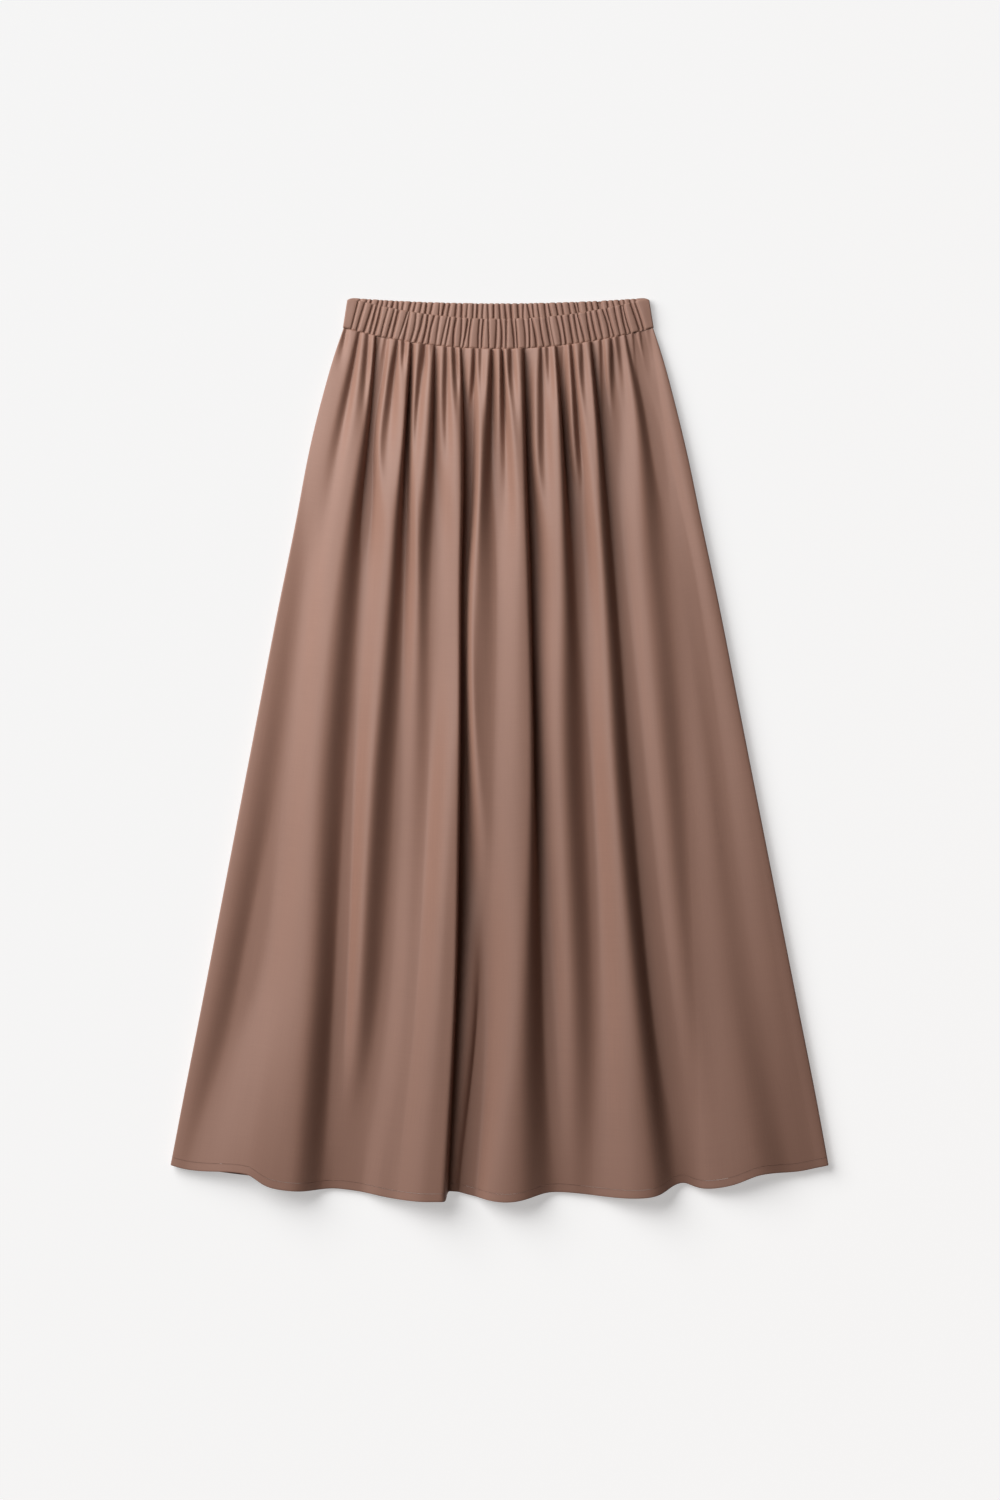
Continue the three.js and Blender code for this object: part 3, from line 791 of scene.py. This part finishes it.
@dataclass(frozen=True)
class Waistband:
    """One half of the elasticated casing, in millimetres: plain inside, furrowed outside.

    Each furrow is drawn at random within the ranges and spreads below. Its outer side takes all of
    the furrow's depth, its inner side the pucker share, up to pucker_most.
    """

    cut: Cut
    layer: Layer
    cloth: float = 3.4
    rest: float = 3.7
    furrows: int = 50
    plain_end: float = 9.0
    furrow_depth: float = 2.5
    furrow_width: float = 0.76
    furrow_shift: float = 0.27
    depth_range: Pair = (0.5, 1.0)
    width_range: Pair = (0.8, 1.35)
    fade: float = 0.45
    plain: Pair = (3.0, 5.0)
    shoulder_depth: float = 0.55
    shoulder_width: float = 2.1
    slant: float = 5.0
    slant_growth: float = 2.2
    slant_spread: float = 1.1
    bend_spread: float = 0.5
    edge: float = 2.2
    end: float = 1.4
    corner: float = 3.5
    corner_reach: float = 2.5
    scallop: float = 0.7
    plush: float = 0.45
    plush_run: float = 8.0
    pucker: float = 0.4
    pucker_most: float = 0.8
    thinnest: float = 0.1
    least_body: float = 0.04
    gather: float = 1.6
    columns: int = 900
    rows: int = 30
    seed: int = 3

    def plan(self) -> dict[str, Array]:
        """Furrows at uneven places, each with its own slant, depth, width and faded end."""
        rng = np.random.default_rng(self.seed)
        gathered = self.cut.seam_width / 2.0 - self.plain_end
        count = self.furrows
        pitch = 2.0 * gathered / count
        shift = rng.uniform(-self.furrow_shift, self.furrow_shift, count)
        centre = -gathered + pitch * (np.arange(count) + 0.5 + shift)
        slant = self.slant * np.tanh(self.slant_growth * centre / gathered)
        return {
            "centre": centre,
            "slant": slant + rng.normal(0.0, self.slant_spread, count),
            "bend": rng.normal(0.0, self.bend_spread, count),
            "depth": rng.uniform(*self.depth_range, count),
            "width": rng.uniform(*self.width_range, count),
            "fade": rng.uniform(-1.0, 1.0, count),
        }

    def furrow(self, x: Array, share: Array) -> Array:
        """Depth of the furrows: a narrow bell in a wide one for each, fading towards one edge.

        Args:
            x: places along the band, measured at its seam.
            share: places across the band, 0 at its top edge and 1 at the seam.

        Returns:
            Depth at each place.
        """
        plan = self.plan()
        depth = np.zeros_like(x)
        for k in range(self.furrows):
            off = x - plan["centre"][k] - plan["slant"][k] * (share - 0.5)
            off = off - plan["bend"][k] * np.sin(np.pi * share)
            fade = 1.0 - self.fade * np.clip(plan["fade"][k] * (2.0 * share - 1.0), 0.0, 1.0)
            width = plan["width"][k]
            sharp = self.furrow_depth * bell(off, self.furrow_width * width)
            broad = self.shoulder_depth * bell(off, self.shoulder_width * width)
            depth += plan["depth"][k] * fade * (sharp + broad)
        return depth

    def build(self, cloth: Material) -> Object:
        """Build the band: a flat wall with round edges and ends, thinner where it is furrowed."""
        half = self.cut.seam_width / 2.0
        bias = np.linspace(-1.0, 1.0, self.columns)
        x = np.repeat((half * bias)[None, :], self.rows, axis=0)
        turn = np.linspace(0.0, np.pi, self.rows)
        share = np.repeat(((1.0 - np.cos(turn)) / 2.0)[:, None], self.columns, axis=1)
        across = x / half
        from_edge = np.minimum(share, 1.0 - share) * self.cut.band_height
        from_end = half - np.abs(x)
        body = quarter_circle(from_edge / self.edge) * quarter_circle(from_end / self.end)
        body = np.maximum(body, self.least_body)
        plain_end, run = self.plain
        furrow = self.furrow(x, share) * np.clip((from_end - plain_end) / run, 0.0, 1.0)
        taper = self.cut.waist_width / self.cut.seam_width
        place_x = self.cut.centre_x(0.0) + x * (taper + (1.0 - taper) * share)
        cut_corner = self.corner * np.exp(-from_end / self.corner_reach)
        notch = cut_corner + self.scallop * furrow / 2.0
        drop = share * self.cut.band_height + (1.0 - share) * notch
        y = self.cut.top_y - self.cut.dip(self.layer) * (1.0 - across**2) - drop
        plush = self.plush * np.sin(np.pi * share) * np.clip(from_end / self.plush_run, 0.0, 1.0)
        top = self.rest + self.cloth * (1.0 + body) / 2.0 + plush - furrow * body
        low = self.rest + self.cloth * (1.0 - body) / 2.0
        low = low + np.clip(self.pucker * furrow * body, 0.0, self.pucker_most)
        upper = np.stack([place_x, y, np.maximum(top, low + self.thinnest)], axis=-1)
        lower = np.stack([place_x, y, low], axis=-1)
        uv = np.stack([x * MM * self.gather, share * self.cut.band_height * MM], axis=-1)
        piece = close_wall(f"{self.layer.value}_casing", upper, lower, uv)
        dress(piece, cloth, (f"{self.layer.value}_waistband",))
        return piece


@dataclass(frozen=True)
class HemStitching:
    """A row of lockstitches along the top of a turned hem, in millimetres."""

    stitch: float = 2.6
    pitch: float = 3.1
    thread: float = 0.26
    inset: float = 0.8
    proud: float = 0.02
    lead: float = 0.7
    dive: float = 0.8
    end_power: int = 4
    least_end: float = 0.02
    ring: int = 6
    steps: int = 5

    def build(self, name: str, line: Array, lift: float, thread: Material) -> Object:
        """Lay stitches along a line of points on the cloth.

        Each stitch is a short thread with round ends that dive into the cloth: rings whose radius
        is the root of 1 less the fourth power of the place along it.

        Args:
            name: the piece's name.
            line: places along the hem on the middle of the cloth.
            lift: height of the cloth's face above its middle.
            thread: the thread's material.

        Returns:
            All the stitches joined as one piece.
        """
        run = walked(line)
        count = int(run[-1] / self.pitch) - 1
        start = self.pitch * (np.arange(count) + self.lead)
        walk = start[:, None] + np.linspace(0.0, self.stitch, self.steps)[None, :]
        centre = np.stack([np.interp(walk, run, line[:, k]) for k in range(3)], axis=-1)
        centre[..., 2] += lift + self.proud
        tangent = unit(np.gradient(centre, axis=1))
        side = unit(np.cross(tangent, np.array([0.0, 0.0, 1.0])))
        up = np.cross(side, tangent)
        end = np.linspace(-1.0, 1.0, self.steps) ** self.end_power
        radius = self.thread / 2.0 * np.sqrt(np.clip(1.0 - end, self.least_end, 1.0))
        turn = np.linspace(0.0, FULL_TURN, self.ring, endpoint=False)
        circle = side[:, :, None, :] * np.cos(turn)[None, None, :, None]
        circle = circle + up[:, :, None, :] * np.sin(turn)[None, None, :, None]
        points = centre[:, :, None, :] + circle * radius[None, :, None, None]
        points[..., 2] -= (self.dive * self.thread * end)[None, :, None]
        return self.skin(name, points, thread)

    def skin(self, name: str, points: Array, thread: Material) -> Object:
        """Join rings of points into closed stitches: quads round the sides and across each end."""
        count, steps, ring, _ = points.shape
        index = np.arange(count * steps * ring).reshape(count, steps, ring)
        a, b = index[:, :-1, :], np.roll(index, -1, axis=2)[:, :-1, :]
        c, d = np.roll(index, -1, axis=2)[:, 1:, :], index[:, 1:, :]
        sides = np.stack([a, d, c, b], axis=-1).reshape(-1, 4)
        caps = [index[:, 0, [0, k, k + 1, k + 2]] for k in range(1, ring - 2, 2)]
        caps += [index[:, -1, [k + 2, k + 1, k, 0]] for k in range(1, ring - 2, 2)]
        faces = np.concatenate([sides, *caps])
        piece = make_mesh(name, points.reshape(-1, 3), faces)
        dress(piece, thread)
        return piece


class Shading:
    """A new material, with short ways to add its nodes and feed their inputs."""

    def __init__(self, name: str) -> None:
        """Start with the surface shader alone."""
        self.material = bpy.data.materials.new(name)
        self.material.use_nodes = True
        self.tree = self.material.node_tree
        self.surface = self.tree.nodes["Principled BSDF"]

    def feed(self, node: Node, inputs: Inputs) -> Node:
        """Set each input that the dictionary names, or join it to the socket given for it."""
        for key, value in inputs.items():
            if isinstance(value, NodeSocket):
                self.tree.links.new(value, node.inputs[key])
            else:
                node.inputs[key].default_value = value
        return node

    def add(self, kind: str, inputs: Inputs) -> Node:
        """Add a node and feed its inputs."""
        return self.feed(self.tree.nodes.new(kind), inputs)

    def combine(self, operation: str, first: Feed, second: Feed) -> NodeSocket:
        """Add a node that sums, divides or the like, and return what comes out of it."""
        node = self.add("ShaderNodeMath", {0: first, 1: second})
        node.operation = operation
        return node.outputs["Value"]

    def shade(self, colour: Triple, shares: Pair, by: NodeSocket) -> None:
        """Colour the surface between a darker and a lighter share of one colour."""
        dark, light = ((*(min(part * share, 1.0) for part in colour), 1.0) for share in shares)
        ramp = self.tree.nodes.new("ShaderNodeMix")
        ramp.data_type = "RGBA"
        self.feed(ramp, {"A": dark, "B": light, "Factor": by})
        self.feed(self.surface, {"Base Color": ramp.outputs["Result"]})

    def emboss(self, height: NodeSocket, distance: float, strength: float) -> None:
        """Give the surface a bump, its distance in metres."""
        inputs = {"Strength": strength, "Distance": distance, "Height": height}
        bump = self.add("ShaderNodeBump", inputs)
        self.feed(self.surface, {"Normal": bump.outputs["Normal"]})


@dataclass(frozen=True)
class ClothFinish:
    """Matt crepe twill: a fine diagonal weave, slubs along the threads and a soft sheen.

    warp, weft and cloud are noises, each with its scale across and along the cloth and its detail.
    shades are the darkest and the lightest share of the colour. rib and weave_height are metres.
    """

    name: str
    colour: Triple
    roughness: float = 0.58
    gloss: float = 0.46
    sheen: float = 0.06
    sheen_roughness: float = 0.5
    sheen_tint: Triple = (1.0, 0.7, 0.58)
    shades: Pair = (0.86, 1.14)
    warp: Triple = (900.0, 14.0, 2.0)
    weft: Triple = (18.0, 1100.0, 2.0)
    cloud: Triple = (22.0, 9.0, 3.0)
    rib: float = 0.0011
    rib_distortion: float = 1.5
    weave_height: float = 0.00006
    weave_strength: float = 0.6

    def material(self) -> Material:
        """Make the material from noise and wave nodes on the cloth's own coordinates."""
        shading = Shading(self.name)
        place = shading.add("ShaderNodeUVMap", {})
        place.uv_map = CLOTH_UV
        cloth = place.outputs["UV"]

        def stretched(across: float, along: float, detail: float) -> NodeSocket:
            """Noise on the cloth coordinates, stretched along or across the threads."""
            inputs = {"Scale": (across, along, 1.0), "Vector": cloth}
            vector = shading.add("ShaderNodeMapping", inputs).outputs["Vector"]
            inputs = {"Scale": 1.0, "Detail": detail, "Vector": vector}
            return shading.add("ShaderNodeTexNoise", inputs).outputs["Fac"]

        threads = shading.combine("ADD", stretched(*self.warp), stretched(*self.weft))
        total = shading.combine("ADD", threads, stretched(*self.cloud))
        shading.shade(self.colour, self.shades, shading.combine("DIVIDE", total, 3.0))
        inputs = {"Scale": WAVE_REPEAT / self.rib, "Distortion": self.rib_distortion}
        twill = shading.add("ShaderNodeTexWave", {**inputs, "Detail": 1.0, "Vector": cloth})
        twill.bands_direction = "DIAGONAL"
        height = shading.combine("ADD", twill.outputs["Fac"], threads)
        shading.emboss(height, self.weave_height, self.weave_strength)
        inputs = {
            "Roughness": self.roughness,
            "Specular IOR Level": self.gloss,
            "Sheen Weight": self.sheen,
            "Sheen Roughness": self.sheen_roughness,
            "Sheen Tint": (*self.sheen_tint, 1.0),
        }
        shading.feed(shading.surface, inputs)
        return shading.material


@dataclass(frozen=True)
class ThreadFinish:
    """Spun sewing thread, a little darker than the cloth, with a fine twist."""

    name: str = "sewing thread"
    colour: Triple = (0.26, 0.15, 0.112)
    shades: Pair = (0.8, 1.25)
    roughness: float = 0.6
    twist_scale: float = 2500.0
    twist_height: float = 0.00005

    def material(self) -> Material:
        """Make the material: plain colour with a twisted bump on object coordinates."""
        shading = Shading(self.name)
        place = shading.add("ShaderNodeTexCoord", {}).outputs["Object"]
        inputs = {"Scale": self.twist_scale, "Vector": place}
        twist = shading.add("ShaderNodeTexNoise", inputs).outputs["Fac"]
        shading.shade(self.colour, self.shades, twist)
        shading.emboss(twist, self.twist_height, 1.0)
        shading.feed(shading.surface, {"Roughness": self.roughness})
        return shading.material


@dataclass(frozen=True)
class Softbox:
    """A square soft light, in metres and watts, aimed at the middle of the skirt."""

    name: str
    place: Triple
    size: float
    power: float

    def aim(self) -> Quaternion:
        """The turn that points the light at the middle of the skirt."""
        return (-Vector(self.place)).to_track_quat("-Z", "Y")

    def build(self) -> None:
        """Make the lamp."""
        lamp = bpy.data.lights.new(self.name, "AREA")
        lamp.shape = "SQUARE"
        lamp.size = self.size
        lamp.energy = self.power
        holder = bpy.data.objects.new(self.name, lamp)
        holder.location = self.place
        holder.rotation_euler = self.aim().to_euler()
        bpy.context.collection.objects.link(holder)

    def light_on(self, floor: Array, cells: int = 8) -> Array:
        """Light that reaches level ground, as the brightness of a white sheet there.

        The box is cut into cells, and each gives its power times both cosines over the square of
        pi times the distance.

        Args:
            floor: places in metres, one row each.
            cells: cells along each side of the box.

        Returns:
            One brightness for each place.
        """
        side, up, back = (np.array(axis) for axis in self.aim().to_matrix().col)
        step = ((np.arange(cells) + 0.5) / cells - 0.5) * self.size
        bright = np.zeros(len(floor))
        for u in step:
            for v in step:
                ray = floor - (np.array(self.place) + side * u + up * v)
                reach = np.linalg.norm(ray, axis=1)
                cosines = np.clip(ray @ -back, 0.0, None) * np.clip(-ray[:, 2], 0.0, None)
                bright += self.power / cells**2 * (cosines / reach**2) / (np.pi * reach) ** 2
        return bright


@dataclass(frozen=True)
class PaleFloor:
    """A pale board, graded so that it looks even under the lights, in metres."""

    tone: float = 0.918
    lit_share: float = 0.53
    colour: float = 0.85
    half_size: float = 3.0
    cells: int = 96
    level: float = -0.0004

    def build(self, boxes: tuple[Softbox, ...], fill: float) -> None:
        """Make the board.

        Light that it reflects gives a share of the tone, as far as the board's own colour allows.
        The rest of the tone glows, as it does on a light table, and keeps the shadows soft.

        Args:
            boxes: the lights that reach it.
            fill: brightness that the surroundings add.
        """
        line = np.linspace(-self.half_size, self.half_size, self.cells)
        x, y = np.meshgrid(line, line)
        points = np.stack([x.ravel(), y.ravel(), np.full(x.size, self.level)], axis=1)
        index = np.arange(x.size).reshape(x.shape)
        faces = np.stack([index[:-1, :-1], index[:-1, 1:], index[1:, 1:], index[1:, :-1]], axis=-1)
        board = make_mesh("floor", points / MM, faces.reshape(-1, 4))
        bright = fill + sum(box.light_on(points) for box in boxes)
        colour = np.minimum(self.colour, self.lit_share * self.tone / bright)
        glow = np.clip(self.tone - colour * bright, 0.0, None)
        for name, values in (("tint", colour), ("glow", glow)):
            layer = board.data.attributes.new(name, "FLOAT", "POINT")
            layer.data.foreach_set("value", values.astype(np.float32))
        board.data.materials.append(self.material())

    def material(self) -> Material:
        """Make the board's material from its two graded values."""
        shading = Shading("pale board")
        inputs = {
            "Roughness": 1.0,
            "Specular IOR Level": 0.0,
            "Emission Color": (1.0, 1.0, 1.0, 1.0),
        }
        for name, key in (("tint", "Base Color"), ("glow", "Emission Strength")):
            value = shading.add("ShaderNodeAttribute", {})
            value.attribute_name = name
            inputs[key] = value.outputs["Fac"]
        shading.feed(shading.surface, inputs)
        return shading.material


@dataclass(frozen=True)
class Studio:
    """Pale floor, a soft light from the upper left and a camera straight overhead, in metres."""

    frame_height: float = 1.575
    camera_height: float = 4.2
    sensor: float = 36.0
    view_depth: float = 50.0
    fill: float = 0.047
    fill_tint: Triple = (1.0, 0.74, 0.6)
    boxes: tuple[Softbox, ...] = (Softbox("window light", (-1.4, 1.15, 1.4), 2.0, 94.5),)

    def build(self) -> None:
        """Make the floor, the lights, the surroundings and the camera."""
        PaleFloor().build(self.boxes, self.fill)
        for box in self.boxes:
            box.build()
        self.world()
        self.camera()

    def world(self) -> None:
        """Even light from all round, warmed by the cloth that it comes off."""
        world = bpy.data.worlds.new("studio")
        world.use_nodes = True
        background = world.node_tree.nodes["Background"]
        background.inputs["Color"].default_value = (*self.fill_tint, 1.0)
        background.inputs["Strength"].default_value = self.fill
        bpy.context.scene.world = world

    def camera(self) -> None:
        """A long lens looking straight down, framed as the photograph is."""
        lens = bpy.data.cameras.new("overhead camera")
        lens.sensor_fit = "VERTICAL"
        lens.sensor_height = self.sensor
        lens.lens = self.sensor * self.camera_height / self.frame_height
        lens.clip_end = self.view_depth
        holder = bpy.data.objects.new("overhead camera", lens)
        holder.location = (0.0, 0.0, self.camera_height)
        bpy.context.collection.objects.link(holder)
        scene = bpy.context.scene
        scene.camera = holder
        scene.view_settings.view_transform = "Standard"


def main() -> None:
    """Build the skirt in the order in which it is sewn, and the studio round it."""
    logging.basicConfig(level=logging.INFO, format="%(name)s %(message)s")
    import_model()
    cut = Cut()
    skirt_cloth = ClothFinish("skirt cloth", (0.262, 0.139, 0.1)).material()
    band_cloth = ClothFinish("waistband cloth", (0.258, 0.139, 0.1015)).material()
    thread = ThreadFinish().material()
    back = BackPanel(cut)
    back_panel, back_hem = back.build(skirt_cloth)
    front = FrontPanel(cut)
    front_panel, front_hem = front.build(skirt_cloth)
    back_band = Waistband(cut, Layer.BACK, rest=0.0, seed=8).build(band_cloth)
    front_band = Waistband(cut, Layer.FRONT).build(band_cloth)
    sewing = HemStitching()
    row = np.array([1.0 - cut.hem_share + sewing.inset / cut.drop])
    front_line, _ = front.surface(row)
    stitches = sewing.build("front_hem_stitches", front_line[0], front.cloth / 2.0, thread)
    back_line, _ = back.surface(row, back.hem_cloth)
    back_stitches = sewing.build("back_hem_stitches", back_line[0], back.hem_cloth / 2.0, thread)
    Studio().build()


if __name__ == "__main__":
    main()
